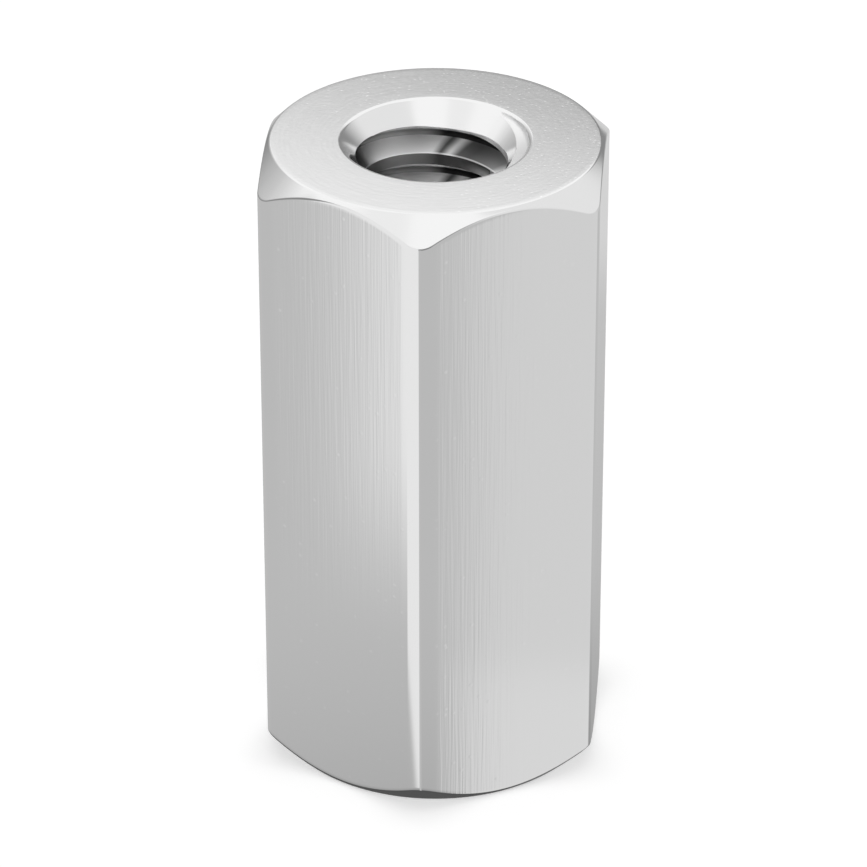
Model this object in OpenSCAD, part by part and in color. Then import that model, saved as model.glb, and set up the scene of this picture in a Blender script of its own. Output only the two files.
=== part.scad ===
// Hexagonal standoff, female at both ends: a length of drawn hexagonal bar that is
// turned and bored from end to end. The bore is cut at the tap drill's diameter, which
// is the diameter across the crests of the thread it carries.
//
// The origin is the centre of the lower end face. +Z runs up the bore's axis to the
// upper end face, and one long corner of the bar points along -Y.

/* [Hexagonal bar] */
// Width across the flats
across_flats = 6.35; // [5:0.05:12]
// Length from end face to end face
body_length = 12.7; // [4:0.1:60]
// Radius along each of the bar's long corners
corner_radius = 0.5; // [0.1:0.05:1]

/* [End chamfers] */
// How far the rim of an end face lies inside the flats
face_inset = 0.07; // [0.02:0.01:0.4]
// Angle between the chamfer and the end face
chamfer_angle = 45; // [20:1:60]
// Radius on the edge between the end face and the chamfer
rim_round = 0.05; // [0.02:0.01:0.12]

/* [Bore] */
// Outside diameter of the screw that the bore takes, a No. 6
screw_diameter = 3.505; // [2.85:0.005:4.3]
// Diameter of the tap drill, a No. 36
tap_drill_diameter = 2.705; // [2:0.005:3.3]
// Included angle of the countersink at each end
countersink_angle = 90; // [60:1:120]
// How much wider the mouth of the countersink is than the screw
mouth_margin = 0.065; // [0.03:0.005:0.6]
// Radius on the edge between the end face and the countersink
mouth_round = 0.1; // [0.02:0.01:0.15]

/* [Hidden] */

$fn = 96;
corner_count = 6;
round_steps = 8;
overlap = 1;

// The bar's corners would lie on this radius if they were sharp.
sharp_corner_radius = across_flats / 2 / cos(30);
corner_centre_radius = sharp_corner_radius - corner_radius / cos(30);

face_radius = across_flats / 2 - face_inset;
chamfer_drop = (sharp_corner_radius - face_radius) * tan(chamfer_angle);

bore_radius = tap_drill_diameter / 2;
mouth_radius = (screw_diameter + mouth_margin) / 2;
mouth_slope = 90 - countersink_angle / 2;
countersink_depth = (mouth_radius - bore_radius) * tan(mouth_slope);

// How far from an edge, which turns through an angle there, a round of radius r begins.
function round_reach(r, turn) = r * tan(turn / 2);

// Points along an arc about a centre, from one direction to another.
function arc(centre, r, from, to) = [
    for (i = [0:round_steps])
        let (direction = from + (to - from) * i / round_steps)
        centre + r * [cos(direction), sin(direction)]
];

// Outline of the upper end in half section, from the bore out to the bar's corners. The
// end face lies between the round at the countersink's mouth and the round at its rim.
function upper_end() = [
    [bore_radius, body_length - countersink_depth],
    each arc(
        [mouth_radius + round_reach(mouth_round, mouth_slope), body_length - mouth_round],
        mouth_round, 90 + mouth_slope, 90
    ),
    each arc(
        [face_radius - round_reach(rim_round, chamfer_angle), body_length - rim_round],
        rim_round, 90, 90 - chamfer_angle
    ),
    [sharp_corner_radius, body_length - chamfer_drop]
];

// The other end: the same points turned over, and in reverse order to close the outline.
function turned_over(points) = [
    for (i = [len(points) - 1:-1:0]) [points[i][0], body_length - points[i][1]]
];

// Section of the bar: a hexagon with rounded corners, the first of them along -Y.
module bar_section() {
    polygon([
        for (corner = [0:corner_count - 1])
            let (direction = corner * 360 / corner_count - 90)
            each arc(
                corner_centre_radius * [cos(direction), sin(direction)],
                corner_radius, direction - 180 / corner_count, direction + 180 / corner_count
            )
    ]);
}

// Everything that is turned: the bore, its countersinks, the end faces and the chamfers.
module turned_form() {
    rotate_extrude()
        polygon(concat(upper_end(), turned_over(upper_end())));
}

// The bar, cut to length, chamfered and bored.
module hex_body() {
    color("gainsboro")
        intersection() {
            translate([0, 0, -overlap])
                linear_extrude(body_length + 2 * overlap)
                    bar_section();
            turned_form();
        }
}

hex_body();
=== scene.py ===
"""A hexagonal threaded standoff: drawn aluminium bar, turned at both ends and tapped right through.

Sizes in the classes are in millimetres, and meshes are handed to Blender in metres. The part stands
on the floor with its axis on +Z, as it does in the CAD frame.
"""

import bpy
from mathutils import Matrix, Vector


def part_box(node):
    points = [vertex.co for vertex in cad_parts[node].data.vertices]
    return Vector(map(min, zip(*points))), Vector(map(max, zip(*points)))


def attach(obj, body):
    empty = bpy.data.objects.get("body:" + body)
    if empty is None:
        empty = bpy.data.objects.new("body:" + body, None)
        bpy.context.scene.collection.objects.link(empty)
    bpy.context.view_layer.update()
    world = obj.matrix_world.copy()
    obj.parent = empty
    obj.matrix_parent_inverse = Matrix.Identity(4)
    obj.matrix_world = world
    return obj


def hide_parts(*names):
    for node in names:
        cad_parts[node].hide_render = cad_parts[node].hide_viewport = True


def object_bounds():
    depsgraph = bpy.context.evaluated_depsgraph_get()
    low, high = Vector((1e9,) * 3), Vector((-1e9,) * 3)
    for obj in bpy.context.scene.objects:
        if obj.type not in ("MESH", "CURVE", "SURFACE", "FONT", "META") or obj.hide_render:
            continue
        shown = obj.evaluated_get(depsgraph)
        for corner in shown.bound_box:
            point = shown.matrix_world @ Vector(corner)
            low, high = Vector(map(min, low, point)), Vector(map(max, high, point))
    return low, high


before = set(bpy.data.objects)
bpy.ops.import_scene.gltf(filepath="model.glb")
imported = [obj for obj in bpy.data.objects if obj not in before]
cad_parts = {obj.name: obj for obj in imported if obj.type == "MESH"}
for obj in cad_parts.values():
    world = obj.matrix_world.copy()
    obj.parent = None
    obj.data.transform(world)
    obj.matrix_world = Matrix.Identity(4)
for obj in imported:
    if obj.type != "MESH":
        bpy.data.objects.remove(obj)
CAD_BOX = [list(corner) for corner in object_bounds()]

import logging
import math
from collections.abc import Mapping, Sequence
from dataclasses import dataclass, field
from enum import Enum

import bmesh
import bpy
import numpy as np
from mathutils import Vector

LOG = logging.getLogger("standoff")
MM = 0.001  # metres in a millimetre
HALF_TURN = math.radians(180)
BORE_BOUNCES = 32  # a ray takes some fourteen to leave the thread
CORNER_ATTRIBUTE = "corner"
Settings = Mapping[str, object]
Inputs = Mapping[str | int, object]
Span = tuple[float, float]
Triple = tuple[float, float, float]


# --------------------------------------------------------------------------------------------------
# Shader graphs
# --------------------------------------------------------------------------------------------------


class Wire:
    """One output of a shader node. Arithmetic on it adds Math nodes."""

    def __init__(self, graph: "ShaderGraph", socket: bpy.types.NodeSocket) -> None:
        """Keeps the graph that the output belongs to, and the output."""
        self.graph = graph
        self.socket = socket

    def __getitem__(self, name: str) -> "Wire":
        """Another output of the same node, by name."""
        return Wire(self.graph, self.socket.node.outputs[name])

    def math(self, operation: str, *others: "float | Wire") -> "Wire":
        """Adds one Math node that takes this value first and then the others."""
        return self.graph.calculate(operation, self, *others)

    def __add__(self, other: "float | Wire") -> "Wire":
        """This plus other."""
        return self.math("ADD", other)

    __radd__ = __add__

    def __mul__(self, other: "float | Wire") -> "Wire":
        """This times other."""
        return self.math("MULTIPLY", other)

    __rmul__ = __mul__

    def __sub__(self, other: "float | Wire") -> "Wire":
        """This less other."""
        return self.math("SUBTRACT", other)

    def __rsub__(self, other: float) -> "Wire":
        """Other less this."""
        return self.graph.calculate("SUBTRACT", other, self)

    def __truediv__(self, other: "float | Wire") -> "Wire":
        """This over other."""
        return self.math("DIVIDE", other)

    def __rtruediv__(self, other: float) -> "Wire":
        """Other over this."""
        return self.graph.calculate("DIVIDE", other, self)

    def towards(self, other: "float | Wire", share: "Wire") -> "Wire":
        """This, moved towards other by that share of the way."""
        return self + (other - self) * share

    def between(self, low: float, high: float) -> "Wire":
        """A mask that rises smoothly from 0 where this is low to 1 where it is high."""
        inputs = {"Value": self, "From Min": low, "From Max": high}
        return self.graph.add("ShaderNodeMapRange", {"interpolation_type": "SMOOTHSTEP"}, inputs)


class ShaderGraph:
    """The node tree of a material or a world."""

    def __init__(self, owner: bpy.types.Material | bpy.types.World) -> None:
        """Empties the owner's node tree, to build it again.

        Args:
            owner: The material or world.
        """
        owner.use_nodes = True
        self.tree = owner.node_tree
        self.tree.nodes.clear()

    def add(self, kind: str, settings: Settings | None = None, values: Inputs | None = None) -> Wire:
        """Adds a node.

        Args:
            kind: The node's type, such as ShaderNodeTexNoise.
            settings: Its properties, set before its sockets. "stops" are a ramp's places and colours.
            values: A constant or a wire for each input that is named, or numbered.

        Returns:
            The node's first output in use, or for an output node its first input.
        """
        node = self.tree.nodes.new(kind)
        for name, value in (settings or {}).items():
            if name == "stops":
                self._set_stops(node.color_ramp, value)
            else:
                setattr(node, name, value)
        for key, value in (values or {}).items():
            socket = self._input(node, key)
            if isinstance(value, Wire):
                self.tree.links.new(value.socket, socket)
            else:
                socket.default_value = value
        shown = [socket for socket in node.outputs if socket.enabled]
        return Wire(self, shown[0] if shown else node.inputs[0])

    @staticmethod
    def _input(node: bpy.types.Node, key: str | int) -> bpy.types.NodeSocket:
        """Finds an input.

        Args:
            node: The node.
            key: The input's number, or the name of one in use.

        Returns:
            The input.
        """
        if isinstance(key, int):
            return node.inputs[key]
        return next(socket for socket in node.inputs if socket.enabled and socket.name == key)

    @staticmethod
    def _set_stops(ramp: bpy.types.ColorRamp, stops: Sequence[Span]) -> None:
        """Gives a ramp its stops.

        Args:
            ramp: The ramp.
            stops: Place and grey level of each stop, in order.
        """
        while len(ramp.elements) < len(stops):
            ramp.elements.new(1.0)
        for element, (place, level) in zip(ramp.elements, stops, strict=True):
            element.position = place
            element.color = grey(level)

    def calculate(self, operation: str, *values: float | Wire) -> Wire:
        """Adds one Math node, with its values in order."""
        return self.add("ShaderNodeMath", {"operation": operation}, dict(enumerate(values)))

    def vector(self, operation: str, *vectors: Triple | Wire) -> Wire:
        """Adds one Vector Math node, with its vectors in order."""
        return self.add("ShaderNodeVectorMath", {"operation": operation}, dict(enumerate(vectors)))

    def stretched(self, scale: Triple) -> Wire:
        """Object coordinates in millimetres, each times its own scale."""
        place = self.add("ShaderNodeTexCoord")["Object"]
        return self.vector("MULTIPLY", place, tuple(factor / MM for factor in scale))

    def noise(self, place: Inputs, detail: float) -> Wire:
        """Noise from 0 to 1, along a line where the place is a W and through space where it is a Vector."""
        settings = {"noise_dimensions": "1D" if "W" in place else "3D"}
        return self.add("ShaderNodeTexNoise", settings, {**place, "Scale": 1.0, "Detail": detail})

    def scattered(self, size: float) -> tuple[Wire, Wire]:
        """Adds cells scattered through space.

        Args:
            size: Spacing of the cells in millimetres.

        Returns:
            Distance from the cell's middle in units of the spacing, and the cell's own chance.
        """
        place = self.stretched((1.0 / size, 1.0 / size, 1.0 / size))
        cells = self.add("ShaderNodeTexVoronoi", values={"Vector": place, "Scale": 1.0})
        return cells["Distance"], self.add("ShaderNodeSeparateColor", values={0: cells["Color"]})

    def bump(self, height: Wire, distance: float) -> Wire:
        """The normal, tilted by a height that stands for distance metres in each unit."""
        return self.add("ShaderNodeBump", values={"Distance": distance, "Height": height})

    def shaded(self, tint: Wire, level: float, shades: Span) -> Wire:
        """A grey: the level times the first shade where the tint is 0, and the second where it is 1."""
        first, second = (grey(level * shade) for shade in shades)
        return self.add("ShaderNodeMix", {"data_type": "RGBA"}, {"Factor": tint, "A": first, "B": second})

    def metal(self, values: Inputs) -> None:
        """Ends a material's graph with a metal that has these inputs."""
        shader = self.add("ShaderNodeBsdfPrincipled", values={"Metallic": 1.0, **values})
        self.add("ShaderNodeOutputMaterial", values={"Surface": shader})


def grey(level: float) -> tuple[float, float, float, float]:
    """An opaque grey of that linear level."""
    return (level, level, level, 1.0)


def new_material(name: str) -> tuple[bpy.types.Material, ShaderGraph]:
    """A new material of that name, and its empty graph."""
    material = bpy.data.materials.new(name)
    return material, ShaderGraph(material)


def part_place(graph: ShaderGraph) -> Wire:
    """Place on the part in millimetres, with outputs X, Y and Z."""
    return graph.add("ShaderNodeSeparateXYZ", values={0: graph.stretched((1.0, 1.0, 1.0))})


def axis_distance(graph: ShaderGraph) -> Wire:
    """Distance from the part's axis, in millimetres."""
    return graph.vector("LENGTH", graph.stretched((1.0, 1.0, 0.0)))["Value"]


# --------------------------------------------------------------------------------------------------
# Finishes
# --------------------------------------------------------------------------------------------------


class Finish(Enum):
    """The surfaces of the part, in the order of its material slots."""

    DRAWN = 0
    CHAMFER = 1
    FACED = 2
    COUNTERSINK = 3
    TAPPED = 4


@dataclass(frozen=True)
class DrawnFinish:
    """The bar's sides as they leave the die: fine lines along the bar, smooth on the corners.

    A few cells of a scattered pattern hold a small round pale speck.
    """

    name: str = "drawn_sides"
    level: float = 0.88
    shades: Span = (0.99, 1.05)
    base_tint: float = 0.2
    roughness: float = 0.05
    line_scale: Triple = (22.0, 22.0, 0.5)
    line_depth: float = 0.0002
    line_tint: float = 0.03
    line_roughness: float = 0.02
    speck_size: float = 0.16
    speck_edge: Span = (0.32, 0.08)
    speck_chance: Span = (0.8, 0.95)
    speck_height: float = 0.5
    speck_tint: float = 0.6
    speck_roughness: float = 0.04

    def make(self) -> bpy.types.Material:
        """Makes the material: lines and specks in its bump and roughness, and a little in its colour.

        Returns:
            The material.
        """
        material, graph = new_material(self.name)
        flat = 1.0 - graph.add("ShaderNodeAttribute", {"attribute_name": CORNER_ATTRIBUTE})["Fac"]
        lines = (graph.noise({"Vector": graph.stretched(self.line_scale)}, detail=1.0) - 0.5) * flat
        away, chance = graph.scattered(self.speck_size)
        specks = away.between(*self.speck_edge) * chance.between(*self.speck_chance) * flat
        tint = specks * self.speck_tint + lines * self.line_tint + self.base_tint
        graph.metal(
            {
                "Base Color": graph.shaded(tint, self.level, self.shades),
                "Roughness": self.roughness + lines * self.line_roughness + specks * self.speck_roughness,
                "Normal": graph.bump(lines + specks * self.speck_height, self.line_depth * MM),
            }
        )
        return material


@dataclass(frozen=True)
class TurnedFinish:
    """A surface cut smooth on the lathe, with very fine rings round the axis."""

    name: str
    level: float = 0.88
    shades: Span = (0.994, 1.006)
    roughness: float = 0.12
    ring_pitch: float = 0.04
    ring_depth: float = 0.00002
    ring_roughness: float = 0.02

    def make(self) -> bpy.types.Material:
        """Makes the material, with rings by distance from the axis.

        Returns:
            The material.
        """
        material, graph = new_material(self.name)
        rings = graph.noise({"W": axis_distance(graph) / self.ring_pitch}, detail=2.0)
        graph.metal(
            {
                "Base Color": graph.shaded(rings, self.level, self.shades),
                "Roughness": self.roughness + (rings - 0.5) * self.ring_roughness,
                "Normal": graph.bump(rings, self.ring_depth * MM),
            }
        )
        return material


@dataclass(frozen=True)
class FacedFinish:
    """A faced end: fine turned arcs, a slightly uneven surface and small pits, paler as a painted glint.

    The pits lie in some cells of a scattered pattern, and most of them on one side.
    """

    name: str = "faced_end"
    level: float = 0.88
    shades: Span = (0.95, 1.15)
    base_tint: float = 0.25
    roughness: float = 0.11
    ring_pitch: float = 0.05
    ring_depth: float = 0.00006
    arcs_round: float = 5.0
    arc_tint: float = 0.6
    grain_size: float = 0.07
    grain_depth: float = 0.00022
    grain_tint: float = 0.4
    grain_roughness: float = 0.04
    pit_spacing: float = 0.085
    pit_depth: float = 0.0002
    pit_edge: Span = (0.4, 0.0)
    pit_chance: Span = (0.85, 1.15)
    side_heading: Span = (0.8, 0.6)
    side_span: Span = (-2.5, 1.5)
    side_gain: float = 0.45

    def make(self) -> bpy.types.Material:
        """Makes the material: arcs, grain and pits in its bump, and a little of them in its colour.

        Returns:
            The material.
        """
        material, graph = new_material(self.name)
        arcs = self._arcs(graph)
        pitch = 1.0 / self.grain_size
        grain = graph.noise({"Vector": graph.stretched((pitch, pitch, pitch))}, detail=2.0)
        pits = self._pits_and_glints(graph)
        height = arcs * (self.ring_depth * MM) + grain * (self.grain_depth * MM)
        height = height - pits * (self.pit_depth * MM)
        # the pits are real dents in the bump, and their paler colour is a painted glint
        tint = (arcs - 0.5) * self.arc_tint + (grain - 0.5) * self.grain_tint + pits + self.base_tint
        graph.metal(
            {
                "Base Color": graph.shaded(tint, self.level, self.shades),
                "Roughness": self.roughness + (grain - 0.5) * self.grain_roughness,
                "Normal": graph.bump(height, 1.0),
            }
        )
        return material

    def _arcs(self, graph: ShaderGraph) -> Wire:
        """Turned arcs: noise that changes fast with the radius and slowly with the direction.

        Args:
            graph: The material's graph.

        Returns:
            The noise.
        """
        heading = graph.vector("NORMALIZE", graph.stretched((1.0, 1.0, 0.0)))
        turned = graph.vector("MULTIPLY", heading, (self.arcs_round, self.arcs_round, 0.0))
        ring = graph.add("ShaderNodeCombineXYZ", values={"Z": axis_distance(graph) / self.ring_pitch})
        return graph.noise({"Vector": graph.vector("ADD", turned, ring)}, detail=2.0)

    def _pits_and_glints(self, graph: ShaderGraph) -> Wire:
        """Small round pits, more of them the farther a place lies along the side's heading.

        Args:
            graph: The material's graph.

        Returns:
            Depth of the pits, from 0 to 1, also used for their painted glint.
        """
        place = part_place(graph)
        aside = place["X"] * self.side_heading[0] + place["Y"] * self.side_heading[1]
        away, chance = graph.scattered(self.pit_spacing)
        chance = chance + aside.between(*self.side_span) * self.side_gain
        return away.between(*self.pit_edge) * chance.between(*self.pit_chance)


@dataclass(frozen=True)
class TappedFinish:
    """The thread: cut metal whose painted shade changes round the axis and over each turn.

    The surface is rougher across the cut than along it. Bright and dull sectors of painted shade
    repeat three times round the axis. They stand in for reflections that the soft panels alone don't
    bring into the bore, and they aren't marks that a tap is known to leave. Flanks, roots and crests
    have their own painted shades: darker roots, nearly black in the dull sectors, where shade falls,
    and dull crests. The edges of each crest, the land next to each countersink and the run-out near
    the ends are painted bright as painted highlights, and the flanks that face the lower end are
    painted bright so that they throw more light onto the flanks that are seen.

    Heights are distances outwards from the crests in millimetres. A share runs from 0 to 1 over a
    sector, and a turn from 0 to 1 over the pitch, from one crest's upper edge to the next one's. A
    span goes from where a mask is 0 to where it is 1, and a pair of shades is a base and what the
    masks add.
    """

    thread: "Thread"
    length: float
    name: str = "tapped_thread"
    level: float = 1.0
    roughness: float = 0.3
    cut_direction: float = 0.25
    sector_start: float = math.radians(45)
    sector: float = math.radians(120)
    lean: float = math.radians(24)
    painted_flank_stops: tuple[Span, ...] = (
        (0.0, 0.4), (0.1, 0.25), (0.2, 0.15), (0.395, 0.15), (0.445, 1.0), (0.95, 1.0), (1.0, 0.4)
    )
    painted_streak_rise: Span = (0.27, 0.345)
    painted_streak_fall: Span = (0.392, 0.325)
    painted_streak_gain: float = 0.85
    root_width: float = 0.035
    root_blend: float = 0.008
    root_rise: Span = (0.43, 0.58)
    root_fall: Span = (1.0, 0.93)
    root_painted_shades: Span = (0.02, 0.38)
    crest_span: Span = (0.002, 0.001)
    crest_rise: Span = (0.39, 0.52)
    crest_fall: Span = (0.27, 0.05)
    crest_painted_shades: Span = (0.12, 0.5)
    edge_span: Span = (0.03, 0.02)
    edge_highlight_shades: Span = (0.4, 0.6)
    lower_span: Span = (0.1, 0.11)
    lower_blend: float = 0.002
    lower_share: float = 0.3
    upper_blend: float = 0.01
    upper_span: Span = (0.6, 0.57)
    land_highlight: Span = (0.58, 0.54)
    run_out_highlight: Span = (0.46, 0.42)

    def make(self) -> bpy.types.Material:
        """Makes the material: painted shade and highlights by crest height, by sector and along the pitch.

        Returns:
            The material.
        """
        material, graph = new_material(self.name)
        place = part_place(graph)
        angle = place["Y"].math("ARCTAN2", place["X"])
        height = axis_distance(graph) - self.thread.minor_radius
        turn = self._turn(place["Z"], angle)
        share = ((angle + height * self.lean - self.sector_start) / self.sector).math("FRACT")
        lower = turn.between(*self.lower_span)
        lower = lower * turn.between(self._crest_end() + self.lower_blend, self._crest_end())
        crest = height.between(*self.crest_span).math("MAXIMUM", lower)
        root_height = self.thread.major_radius - self.thread.minor_radius - self.root_width
        root = height.between(root_height - self.root_blend, root_height + self.root_blend)
        # painted shade of the flanks, sector by sector, standing in for reflections
        flank_painted_shade = self._painted_flank_shade(graph, share)
        # painted shade: the roots darkened, nearly black in the dull sectors, where shade falls in the
        # groove
        base, gain = self.root_painted_shades
        root_painted_shade = share.between(*self.root_rise) * share.between(*self.root_fall) * gain + base
        # the roots and the crests take their own painted shade over the flanks' painted shade
        shade = flank_painted_shade.towards(root_painted_shade, root).towards(self._crest_painted_shade(share, turn), crest)
        near_end = self.length / 2 - (place["Z"] - self.length / 2).math("ABSOLUTE")
        # painted highlight on the crest edges, following the flanks' painted shade
        base, gain = self.edge_highlight_shades
        edge = (1.0 - crest) * height.between(*self.edge_span) * (flank_painted_shade * gain + base)
        # painted highlights lift the painted shade: the run-out, the land by each countersink, the crest
        # edges, and the flanks facing the lower end
        bright = near_end.between(*self.run_out_highlight)
        for mask in (edge, near_end.between(*self.land_highlight) * crest, self._painted_bright_flanks(turn)):
            bright = bright.math("MAXIMUM", mask)
        graph.metal(
            {
                "Base Color": graph.shaded(shade.towards(1.0, bright), self.level, (0.0, 1.0)),
                "Roughness": self.roughness,
                "Anisotropic": 1.0,
                "Anisotropic Rotation": self.cut_direction,
            }
        )
        return material

    def _crest_end(self) -> float:
        """The turn at which a crest ends, part of the way down its lower round."""
        return (self.thread.crest_flat + self.thread.crest_round * self.lower_share) / self.thread.pitch

    def _painted_bright_flanks(self, turn: Wire) -> Wire:
        """Mask of the flanks under each crest that face the lower end, painted bright to light the seen
        flanks.
        """
        end = self._crest_end()
        return turn.between(end, end + self.upper_blend) * turn.between(*self.upper_span)

    def _painted_flank_shade(self, graph: ShaderGraph, share: Wire) -> Wire:
        """Painted shade of the flanks in a sector: dull, then bright, with a bright painted streak in the
        dull part.

        Args:
            graph: The material's graph.
            share: Place in the sector.

        Returns:
            The painted shade.
        """
        land = graph.add("ShaderNodeValToRGB", {"stops": self.painted_flank_stops}, {"Fac": share})
        streak = share.between(*self.painted_streak_rise) * share.between(*self.painted_streak_fall)
        return land + streak * self.painted_streak_gain

    def _crest_painted_shade(self, share: Wire, turn: Wire) -> Wire:
        """Painted shade of the crests: dull at first, where it brightens along the crest, then medium.

        Args:
            share: Place in the sector.
            turn: Place along the pitch.

        Returns:
            The painted shade.
        """
        along = (turn * (self.thread.pitch / self.thread.crest_flat)).between(0.0, 1.0)
        base, gain = self.crest_painted_shades
        return share.between(*self.crest_rise) * gain + share.between(*self.crest_fall) * along + base

    def _turn(self, up: Wire, angle: Wire) -> Wire:
        """How far along the pitch a place lies, from 0 at a crest's upper edge to 1 at the next one's."""
        turns = (self.length - self.thread.start_depth - up) / self.thread.pitch
        return (turns + (angle - self.thread.start_angle) / (2 * HALF_TURN)).math("FRACT")


# --------------------------------------------------------------------------------------------------
# The standoff's surfaces
# --------------------------------------------------------------------------------------------------


def rounded(
    corner: tuple[np.ndarray, np.ndarray], heading: float, turn: float, radius: float, steps: int
) -> tuple[np.ndarray, np.ndarray]:
    """Points on the round of an outline's corner.

    The round starts one tangent length, radius times tan(turn / 2), before the corner. After it has
    turned by an angle t it has gone radius times sin t along the first heading, and radius times
    (1 - cos t) to the side it turns to.

    Args:
        corner: Radius and depth of the sharp corner, for each column.
        heading: Direction of the outline before the corner, from outwards towards down.
        turn: How far the outline turns, from outwards towards down if positive.
        radius: Radius of the round.
        steps: Segments of the round.

    Returns:
        Radius and depth, with one row for each point of the round.
    """
    angle = np.linspace(0.0, abs(turn), steps + 1)[:, None]
    ahead = radius * (np.sin(angle) - math.tan(abs(turn) / 2))
    aside = math.copysign(radius, turn) * (1.0 - np.cos(angle))
    reach = corner[0] + ahead * math.cos(heading) - aside * math.sin(heading)
    depth = corner[1] + ahead * math.sin(heading) + aside * math.cos(heading)
    return reach, depth


def beside(
    outline: tuple[np.ndarray, np.ndarray], row: int, heading: float, distance: float
) -> tuple[np.ndarray, np.ndarray]:
    """Radius and depth at a distance from an outline's row, along a heading from outwards towards down."""
    reach, depth = outline[0][row], outline[1][row]
    return reach + distance * math.cos(heading), depth + distance * math.sin(heading)


@dataclass(frozen=True)
class HexBar:
    """The rounded hexagon of the drawn bar, with two corners on the Y axis."""

    across_flats: float
    corner_radius: float = 0.5
    corner_steps: int = 12
    flat_steps: int = 24
    sides: int = 6

    def columns(self) -> tuple[np.ndarray, np.ndarray, np.ndarray]:
        """Places round the bar.

        One sector is the round of a corner and the flat that follows it, as complex numbers: the
        corner's centre plus the corner radius in each direction, then even steps to the next
        corner. Turns by 60 degrees, the first of them to -Y, give all six sectors, and the first
        place closes the ring.

        Returns:
            Angle from 0 to a full turn, radius, and how much each place belongs to a corner.
        """
        sixth = 2 * HALF_TURN / self.sides
        centre = (self.across_flats / 2 - self.corner_radius) / math.cos(sixth / 2)
        swing = np.linspace(-sixth / 2, sixth / 2, self.corner_steps + 1)
        round_ = centre + self.corner_radius * np.exp(1j * swing)
        along = np.arange(1, self.flat_steps) / self.flat_steps
        following = round_[0] * np.exp(1j * sixth)
        flat = round_[-1] + (following - round_[-1]) * along
        sector = np.concatenate([round_, flat])
        belongs = np.concatenate([np.ones(len(round_)), np.zeros(len(flat))])
        turns = np.arange(self.sides)[:, None] - self.sides / 4
        turned = (sector[None, :] * np.exp(1j * sixth * turns)).ravel()
        angle = np.mod(np.angle(turned), 2 * HALF_TURN)
        order = np.argsort(angle)
        angle, radius = angle[order], np.abs(turned)[order]
        belongs = np.tile(belongs, self.sides)[order]
        return (
            np.append(angle, angle[0] + 2 * HALF_TURN),
            np.append(radius, radius[0]),
            np.append(belongs, belongs[0]),
        )


@dataclass(frozen=True)
class EndCut:
    """How each end is turned: chamfer, flat face and countersink, with a small round on each edge.

    The skirt is how far down the bar's side the end's last row lies below its last round.
    """

    face_radius: float
    chamfer_angle: float = math.radians(45)
    cone_angle: float = math.radians(45)
    mouth_radius: float = 1.785
    bore_radius: float = 1.3525
    edge_round: float = 0.08
    rim_round: float = 0.06
    mouth_round: float = 0.1
    throat_round: float = 0.025
    skirt: float = 0.06
    steps: int = 4
    face_rows: int = 6
    cone_rows: int = 4

    def outside(self, reach: np.ndarray) -> tuple[np.ndarray, np.ndarray]:
        """The face's outer part and the chamfer, from the mouth's edge out to the side of the bar.

        Args:
            reach: The bar's radius in each column.

        Returns:
            Radius and depth below the face, one row for each point.
        """
        level = np.zeros_like(reach)
        drop = (reach - self.face_radius) * math.tan(self.chamfer_angle)
        mouth = self.mouth_radius + self.mouth_round * math.tan(self.cone_angle / 2)
        face_end = self.face_radius - 2 * self.rim_round
        face = np.linspace(mouth, face_end, self.face_rows + 1)[1:, None] + level
        corner = (level + self.face_radius, level)
        rim = rounded(corner, 0.0, self.chamfer_angle, self.rim_round, self.steps)
        side_turn = HALF_TURN / 2 - self.chamfer_angle
        edge = rounded((reach, drop), self.chamfer_angle, side_turn, self.edge_round, self.steps)
        middle = tuple((a[-1:] + b[:1]) / 2 for a, b in zip(rim, edge, strict=True))
        below = (edge[0][-1:], edge[1][-1:] + self.skirt)
        rows = [(face, 0 * face), rim, middle, edge, below]
        return np.concatenate([row[0] for row in rows]), np.concatenate([row[1] for row in rows])

    def throat(self) -> tuple[np.ndarray, np.ndarray]:
        """The countersink from its mouth down to the bore, as depths and radii that rise with depth.

        Returns:
            Depth and radius of each point, from depth zero downwards.
        """
        up, slope = -HALF_TURN / 2, -self.cone_angle
        depth = self.mouth_radius - self.bore_radius
        low = rounded((self.bore_radius, depth), up, slope - up, self.throat_round, self.steps)
        high = rounded((self.mouth_radius, 0.0), slope, -slope, self.mouth_round, 2 * self.steps)
        radii = np.concatenate([low[0].ravel(), high[0].ravel()])[::-1]
        depths = np.concatenate([low[1].ravel(), high[1].ravel()])[::-1]
        return depths, radii

    def cone(self) -> np.ndarray:
        """Depths of even rows down the countersink's cone, between its two rounds."""
        depth, _ = self.throat()
        return np.linspace(depth[2 * self.steps], depth[-1 - self.steps], self.cone_rows + 2)[1:-1]


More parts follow.
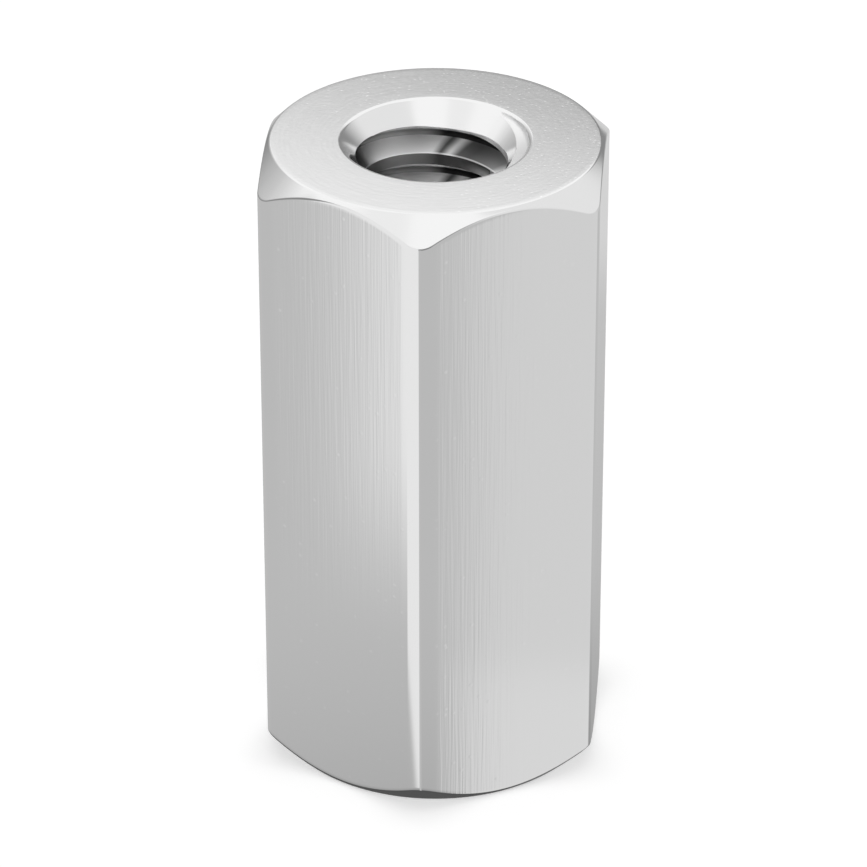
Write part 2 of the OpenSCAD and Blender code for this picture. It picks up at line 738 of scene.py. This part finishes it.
@dataclass(frozen=True)
class Thread:
    """A right-hand internal thread with 60 degree flanks, tapped from the upper face.

    The guard is how far from a round the close point on either side of it lies. The spare turns
    are those laid out beyond each end of the bore.
    """

    pitch: float = 0.79375
    minor_radius: float = 1.3525
    major_radius: float = 1.7525
    crest_flat: float = 0.233
    flank_angle: float = math.radians(30)
    start_depth: float = 0.9718
    start_angle: float = math.radians(94.915)
    crest_round: float = 0.025
    root_round: float = 0.08
    guard: float = 0.004
    steps: int = 3
    spare_turns: int = 3

    def groove(self) -> tuple[np.ndarray, np.ndarray]:
        """One groove's outline, from one crest to the next.

        Depth runs from the groove's upper edge. Both flanks lie 30 degrees from the axis' normal
        plane, so a flank is tan 30 of its height long in depth. Each corner has its round, and on
        either side of it a point close by, so that the normals of flanks and crests stay true.

        Returns:
            Depth and radius of each point.
        """
        height = self.major_radius - self.minor_radius
        run = height * math.tan(self.flank_angle)
        opening = self.pitch - self.crest_flat
        down, outward = HALF_TURN / 2, self.flank_angle
        bend = down - outward
        low, high = self.minor_radius, self.major_radius
        entry = rounded((low, 0.0), down, outward - down, self.crest_round, self.steps)
        root_in = rounded((high, run), outward, bend, self.root_round, self.steps)
        root_out = rounded((high, opening - run), down, bend, self.root_round, self.steps)
        exit_ = rounded((low, opening), down + bend, -bend, self.crest_round, self.steps)
        inward = down + bend
        parts = [
            beside(entry, 0, down, -self.guard),
            entry,
            beside(entry, -1, outward, self.guard),
            beside(root_in, 0, outward, -self.guard),
            root_in,
            root_out,
            beside(root_out, -1, inward, self.guard),
            beside(exit_, 0, inward, -self.guard),
            exit_,
            beside(exit_, -1, down, self.guard),
        ]
        depth = np.concatenate([part[1].ravel() for part in parts])
        radius = np.concatenate([part[0].ravel() for part in parts])
        return depth, radius

    def upper_edges(self, angle: np.ndarray, length: float) -> np.ndarray:
        """Depth of every groove's upper edge.

        The lower flank's edge is at the start depth at the start angle, and rises by a pitch in
        each turn. The upper edge is the opening's width above it.

        Args:
            angle: Angle of each column.
            length: Length of the bore.

        Returns:
            One row for each turn that reaches the bore, one column for each angle.
        """
        rise = self.pitch * (angle - self.start_angle) / (2 * HALF_TURN)
        first = self.start_depth - rise - (self.pitch - self.crest_flat)
        turns = np.arange(-self.spare_turns, math.ceil(length / self.pitch) + self.spare_turns)
        return first[None, :] + self.pitch * turns[:, None]


@dataclass
class HexStandoff:
    """The whole part as one closed surface.

    A groove that starts within the crossing reach of a cone's end has rows where its flanks cross
    the cone, each with rows at the crossing guard on either side. A face belongs to a countersink
    where it stands less than the cone's slack outside it. Points closer than the weld are joined.
    """

    name: str = "hex_standoff"
    bar: HexBar = field(init=False)
    end: EndCut = field(init=False)
    thread: Thread = field(default_factory=Thread)
    length: float = field(init=False)
    face_inset: float = 0.07
    side_rows: int = 4
    crossing_reach: float = 0.2
    crossing_guard: float = 0.01
    cone_slack: float = 0.002
    weld: float = 0.0008

    def __post_init__(self) -> None:
        """Takes the bar's width and length from its CAD solid."""
        low, high = (np.array(corner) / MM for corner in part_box("hex_body"))
        size = high - low
        self.length = float(size[2])
        self.bar = HexBar(float(size[0]))
        self.end = EndCut(float(size[0]) / 2 - self.face_inset)

    def bore(self, angle: np.ndarray) -> tuple[np.ndarray, np.ndarray]:
        """The bore's surface: at each depth the larger of the countersinks' and the thread's radius.

        The rows are the sorted depths of every crease: the countersinks' points, each groove's
        points, and the depths where a flank runs out through a countersink, so that every crease
        has an edge of its own. Sorted, they change evenly from column to column.

        Args:
            angle: Angle of each column.

        Returns:
            Depth and radius, one row for each point.
        """
        cut_depth, cut_radius = self.end.throat()
        groove_depth, groove_radius = self.thread.groove()
        edges = self.thread.upper_edges(angle, self.length)
        helical = (edges[:, None, :] + groove_depth[None, :, None]).reshape(-1, len(angle))
        level = np.concatenate([cut_depth, self.end.cone()])
        level = np.concatenate([level, self.length - level])[:, None] + 0 * angle
        rows = [helical, level, *self._crossings(edges)]
        depth = np.sort(np.clip(np.concatenate(rows), 0.0, self.length), axis=0)
        lead = -groove_depth[0]
        turn = np.mod(depth - edges[0] + lead, self.thread.pitch) - lead
        thread = np.interp(turn, groove_depth, groove_radius)
        upper = np.interp(depth, cut_depth, cut_radius)
        lower = np.interp(self.length - depth, cut_depth, cut_radius)
        return depth, np.maximum(thread, np.maximum(upper, lower))

    def _crossings(self, edges: np.ndarray) -> list[np.ndarray]:
        """Depths where each flank crosses the countersinks' cones, with a row close on either side.

        The cone's radius falls by the depth, and a flank's radius changes by the depth over the
        tangent of its angle, so each crossing is where two straight lines meet. It is kept between
        the ends of its own flank, where it falls on a row of the groove and is welded to it. A
        groove that no cone reaches needs no such rows.

        Args:
            edges: Depth of every groove's upper edge.

        Returns:
            Rows of depths.
        """
        slope = 1 / math.tan(self.thread.flank_angle)
        gap = self.end.mouth_radius - self.thread.minor_radius
        opening = self.thread.pitch - self.thread.crest_flat
        groove_depth, _ = self.thread.groove()
        first, root = groove_depth[0], groove_depth[len(groove_depth) // 2 - 1]
        rows = []
        for upper_end in (True, False):
            high = edges if upper_end else self.length - edges - opening
            high = high[high.min(axis=1) < gap + self.crossing_reach]
            outward = (gap + slope * high) / (1 + slope)
            inward = (slope * (high + opening) - gap) / (slope - 1)
            for meeting, start, stop in (
                (outward, high + first, high + root),
                (inward, high + opening - root, high + opening - first),
            ):
                for aside in (-self.crossing_guard, 0.0, self.crossing_guard):
                    row = np.clip(meeting + aside, start, stop)
                    rows.append(row if upper_end else self.length - row)
        return rows

    def build(self) -> bpy.types.Object:
        """Makes the piece.

        Round the bar go the columns. Down the bore, out over the lower end, up the side and in over
        the upper end go the rows, so that the grid closes on itself.

        Returns:
            The piece, at the origin, without materials.
        """
        angle, reach, belongs = self.bar.columns()
        bore_depth, bore_radius = self.bore(angle)
        end_radius, end_depth = self.end.outside(reach)
        low, high = end_depth[-1], self.length - end_depth[-1]
        share = np.linspace(0.0, 1.0, self.side_rows + 2)[1:-1, None]
        side_height = low + (high - low) * share
        radius = np.concatenate([bore_radius, end_radius, reach + 0 * side_height, end_radius[::-1]])
        height = np.concatenate(
            [self.length - bore_depth, end_depth, side_height, self.length - end_depth[::-1]]
        )
        places = np.stack([radius * np.cos(angle), radius * np.sin(angle), height], axis=-1)
        corner = np.broadcast_to(belongs, radius.shape)
        finish = self._finishes(bore_depth, bore_radius, len(end_radius), len(side_height))
        return self._mesh(places, corner, finish)

    def _finishes(
        self, bore_depth: np.ndarray, bore_radius: np.ndarray, end_rows: int, side_rows: int
    ) -> np.ndarray:
        """Which finish each face of the grid has.

        Args:
            bore_depth: Depth of the bore's points.
            bore_radius: Radius of the bore's points.
            end_rows: Rows of an end's outside.
            side_rows: Rows of the side between the ends.

        Returns:
            A slot number for each face, with rows as the grid's.
        """
        cut_depth, cut_radius = self.end.throat()
        half_round = self.end.steps // 2
        depth, radius = self._middles(bore_depth), self._middles(bore_radius)
        near = np.minimum(depth, self.length - depth)
        cone = np.interp(near, cut_depth, cut_radius)
        sunk = (near < cut_depth[-1 - half_round]) & (radius < cone + self.cone_slack)
        bore = np.where(sunk, Finish.COUNTERSINK.value, Finish.TAPPED.value)
        outside = np.full(end_rows - 1, Finish.CHAMFER.value)
        outside[: self.end.face_rows + half_round] = Finish.FACED.value
        outside[-1 - half_round :] = Finish.DRAWN.value
        side = np.full(side_rows + 1, Finish.DRAWN.value)
        face = [Finish.FACED.value]
        rows = np.concatenate([face, outside, side, outside[::-1], face])
        return np.concatenate([bore, rows[:, None] + 0 * bore[:1]])

    @staticmethod
    def _middles(points: np.ndarray) -> np.ndarray:
        """The mean of a grid's values at the four points of each face."""
        rows = (points[:-1] + points[1:]) / 2
        return (rows[:, :-1] + rows[:, 1:]) / 2

    def _mesh(self, places: np.ndarray, corner: np.ndarray, finish: np.ndarray) -> bpy.types.Object:
        """Makes the grid a mesh, welds its seams and gives it smooth normals.

        Args:
            places: Points of the grid in millimetres, by row and column.
            corner: How much each point belongs to a corner of the bar.
            finish: Slot number of each face.

        Returns:
            The piece.
        """
        rows, columns = places.shape[:2]
        index = np.arange(rows * columns).reshape(rows, columns)
        index = np.concatenate([index, index[:1]])
        faces = np.stack([index[:-1, :-1], index[1:, :-1], index[1:, 1:], index[:-1, 1:]], axis=-1)
        mesh = bpy.data.meshes.new(self.name)
        mesh.from_pydata(places.reshape(-1, 3) * MM, [], faces.reshape(-1, 4))
        mesh.polygons.foreach_set("material_index", finish.astype(np.int32).ravel())
        mark = mesh.attributes.new(CORNER_ATTRIBUTE, "FLOAT", "POINT")
        mark.data.foreach_set("value", corner.astype(np.float32).ravel())
        welded = bmesh.new()
        welded.from_mesh(mesh)
        bmesh.ops.remove_doubles(welded, verts=welded.verts, dist=self.weld * MM)
        bmesh.ops.recalc_face_normals(welded, faces=welded.faces)
        welded.to_mesh(mesh)
        welded.free()
        mesh.shade_smooth()
        self._weigh_normals(mesh)
        piece = bpy.data.objects.new(self.name, mesh)
        bpy.context.collection.objects.link(piece)
        return piece

    @staticmethod
    def _weigh_normals(mesh: bpy.types.Mesh) -> None:
        """Gives each point the mean of its faces' normals by area, so that flats stay flat.

        Args:
            mesh: The mesh to change.
        """
        count = len(mesh.polygons)
        normal = np.empty(count * 3, np.float32)
        area = np.empty(count, np.float32)
        sides = np.empty(count, np.int32)
        point = np.empty(len(mesh.loops), np.int32)
        mesh.polygons.foreach_get("normal", normal)
        mesh.polygons.foreach_get("area", area)
        mesh.polygons.foreach_get("loop_total", sides)
        mesh.loops.foreach_get("vertex_index", point)
        weight = normal.reshape(-1, 3) * (area / area.max())[:, None]
        total = np.zeros((len(mesh.vertices), 3))
        np.add.at(total, point, np.repeat(weight, sides, axis=0))
        least = 1e-12  # so that nothing is divided by zero
        total /= np.maximum(np.linalg.norm(total, axis=1, keepdims=True), least)
        mesh.normals_split_custom_set_from_vertices(total)

    def dress(self, piece: bpy.types.Object) -> None:
        """Gives the piece a material for each finish, in slot order.

        Args:
            piece: The piece that build made.
        """
        finishes = (
            DrawnFinish(),
            TurnedFinish("turned_chamfer"),
            FacedFinish(),
            TurnedFinish("countersink", roughness=0.14),
            TappedFinish(self.thread, self.length),
        )
        for finish in finishes:
            piece.data.materials.append(finish.make())


# --------------------------------------------------------------------------------------------------
# The studio
# --------------------------------------------------------------------------------------------------


@dataclass(frozen=True)
class SoftPanel:
    """A soft panel far off, as a patch of bearings and heights in degrees.

    Bearings run from +X towards +Y. The panel's level replaces what is behind it. Its lower edge
    falls by the tilt for each degree of bearing, and its middle moves by the lean for each degree
    of height.
    """

    level: float
    bearing: float
    half_width: float
    low: float = -95.0
    high: float = 95.0
    side_edge: float = 1.0
    low_edge: float = 1.0
    high_edge: float = 1.0
    tilt: float = 0.0
    lean: float = 0.0

    def over(self, behind: Wire, bearing: Wire, height: Wire) -> Wire:
        """Lays the panel over what is behind it.

        Args:
            behind: The level without the panel.
            bearing: Bearing of the ray, in degrees.
            height: Height of the ray over the horizon, in degrees.

        Returns:
            The level with the panel.
        """
        middle = height * self.lean + self.bearing
        aside = (bearing - middle).math("WRAP", -180.0, 180.0)
        half, edge = self.half_width, self.side_edge
        reach = aside.math("ABSOLUTE").between(half + edge, half - edge)
        lower = height + aside * self.tilt
        cover = (
            reach
            * lower.between(self.low - self.low_edge, self.low + self.low_edge)
            * height.between(self.high + self.high_edge, self.high - self.high_edge)
        )
        return behind * (1.0 - cover) + cover * self.level


@dataclass(frozen=True)
class Studio:
    """A pale floor, and soft panels all round against a grey room.

    Upwards, the room's level changes over each rise, given in degrees over the horizon: from deep
    to low, on to the band, and on to the ceiling.
    """

    floor_half: float = 600.0
    floor_gap: float = 0.002
    floor_level: float = 0.96
    floor_glow: float = 0.18
    deep_level: float = 0.09
    low_level: float = 0.545
    band_level: float = 0.27
    ceiling_level: float = 1.03
    low_rise: Span = (-41.0, -31.0)
    band_rise: Span = (-15.0, -5.0)
    ceiling_rise: Span = (27.0, 32.0)
    panels: tuple[SoftPanel, ...] = (
        SoftPanel(0.66, 139.0, 42.0, low=12.0, high=36.0, side_edge=8.0, low_edge=17.0, high_edge=5.0),
        SoftPanel(1.03, 138.0, 34.0, low=30.0, side_edge=4.0, low_edge=9.0),
        SoftPanel(1.03, 97.0, 12.0, low=25.6, tilt=0.15, side_edge=4.0, low_edge=0.8),
        SoftPanel(0.945, -131.0, 20.0, low=40.0, side_edge=9.0, low_edge=8.0),
        SoftPanel(0.89, -151.38, 4.38, low=-30.7, high=45.0, side_edge=1.2, low_edge=1.3, high_edge=8.0),
        SoftPanel(
            0.89, -122.3, 27.1, low=-33.15, high=45.0, tilt=0.035,
            side_edge=1.2, low_edge=0.5, high_edge=8.0,
        ),
        SoftPanel(0.55, -91.0, 4.0, low=-50.0, high=0.0, side_edge=0.8),
        SoftPanel(0.66, 87.0, 9.0, low=-27.6, high=-10.0, side_edge=2.0, low_edge=0.6, high_edge=5.0),
        SoftPanel(0.49, 87.0, 8.0, low=-50.0, high=-29.5, side_edge=2.0, high_edge=2.5),
        SoftPanel(0.30, 68.0, 22.0, low=-45.0, high=-32.2, side_edge=8.0, high_edge=1.5),
        SoftPanel(0.84, -11.0, 35.0, low=-10.0, high=40.0, side_edge=9.0, low_edge=8.0, high_edge=5.0),
        SoftPanel(0.70, 4.25, 38.75, low=-45.0, high=5.0, side_edge=0.5, low_edge=4.0, high_edge=20.0),
        SoftPanel(0.76, 4.25, 38.75, low=-45.0, high=-32.2, side_edge=0.5, low_edge=4.0, high_edge=0.3),
        SoftPanel(
            0.862, 33.0, 28.3, low=10.0, high=64.0, lean=-0.75, side_edge=7.0, low_edge=6.0, high_edge=2.0
        ),
    )

    def build(self) -> None:
        """Makes the floor and the light."""
        self._floor()
        self._sky()

    def _floor(self) -> None:
        """A square floor just under the part. It glows a little where it is seen, so that it is white."""
        half = self.floor_half * MM
        mesh = bpy.data.meshes.new("floor")
        low = -self.floor_gap * MM
        corners = [(-half, -half, low), (half, -half, low), (half, half, low), (-half, half, low)]
        mesh.from_pydata(corners, [], [(0, 1, 2, 3)])
        material, graph = new_material("floor")
        ray = graph.add("ShaderNodeLightPath")
        seen = ray["Is Camera Ray"] + ray["Is Glossy Ray"] + ray["Is Transmission Ray"]
        lit = graph.add("ShaderNodeBsdfDiffuse", values={"Color": grey(self.floor_level)})
        glow = graph.add("ShaderNodeEmission", values={"Strength": seen * self.floor_glow})
        shader = graph.add("ShaderNodeAddShader", values={0: lit, 1: glow})
        graph.add("ShaderNodeOutputMaterial", values={"Surface": shader})
        mesh.materials.append(material)
        floor = bpy.data.objects.new("floor", mesh)
        floor.visible_glossy = False
        bpy.context.collection.objects.link(floor)

    def _sky(self) -> None:
        """The room's light: dark underneath, grey, a darker band over the horizon, pale above, panels."""
        world = bpy.data.worlds.new("studio_light")
        graph = ShaderGraph(world)
        ray = graph.add("ShaderNodeTexCoord")["Generated"]
        parts = graph.add("ShaderNodeSeparateXYZ", values={0: ray})
        bearing = parts["Y"].math("ARCTAN2", parts["X"]) * math.degrees(1.0)
        height = parts["Z"].math("ARCSINE") * math.degrees(1.0)
        level = height.between(*self.low_rise) * (self.low_level - self.deep_level) + self.deep_level
        level = level + height.between(*self.band_rise) * (self.band_level - self.low_level)
        level = level + height.between(*self.ceiling_rise) * (self.ceiling_level - self.band_level)
        for panel in self.panels:
            level = panel.over(level, bearing, height)
        shader = graph.add("ShaderNodeBackground", values={"Color": grey(1.0), "Strength": level})
        graph.add("ShaderNodeOutputWorld", values={"Surface": shader})
        bpy.context.scene.world = world


@dataclass(frozen=True)
class ViewCamera:
    """The camera: a long lens above and in front, a little to the right."""

    azimuth: float = math.radians(4.915)
    elevation: float = math.radians(29.4874)
    distance: float = 94.564
    lens: float = 203.44
    shift: Span = (-0.002414, 0.001698)
    sensor: float = 36.0
    clip: Span = (5.0, 5000.0)

    def build(self, middle: Vector) -> None:
        """Makes the camera, looking at a place.

        Args:
            middle: The place, in metres.
        """
        data = bpy.data.cameras.new("view")
        data.lens, data.sensor_width = self.lens, self.sensor
        data.shift_x, data.shift_y = self.shift
        data.clip_start, data.clip_end = (reach * MM for reach in self.clip)
        back = Vector(
            (
                math.cos(self.elevation) * math.sin(self.azimuth),
                -math.cos(self.elevation) * math.cos(self.azimuth),
                math.sin(self.elevation),
            )
        )
        camera = bpy.data.objects.new("view", data)
        camera.location = middle + back * self.distance * MM
        camera.rotation_euler = (-back).to_track_quat("-Z", "Y").to_euler()
        bpy.context.collection.objects.link(camera)
        bpy.context.scene.camera = camera


def main() -> None:
    """Builds the part and its studio."""
    logging.basicConfig(level=logging.INFO, format="%(name)s: %(message)s")
    scene = bpy.context.scene
    scene.view_settings.view_transform = "Standard"
    scene.cycles.max_bounces = scene.cycles.glossy_bounces = BORE_BOUNCES
    scene.cycles.blur_glossy = 0.0
    low, high = (Vector(corner) for corner in CAD_BOX)
    ViewCamera().build((low + high) / 2)
    Studio().build()
    standoff = HexStandoff()
    piece = standoff.build()
    standoff.dress(piece)
    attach(piece, "root")
    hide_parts("hex_body")
    LOG.info("%s: %d points, %d faces", piece.name, len(piece.data.vertices), len(piece.data.polygons))


if __name__ == "__main__":
    main()
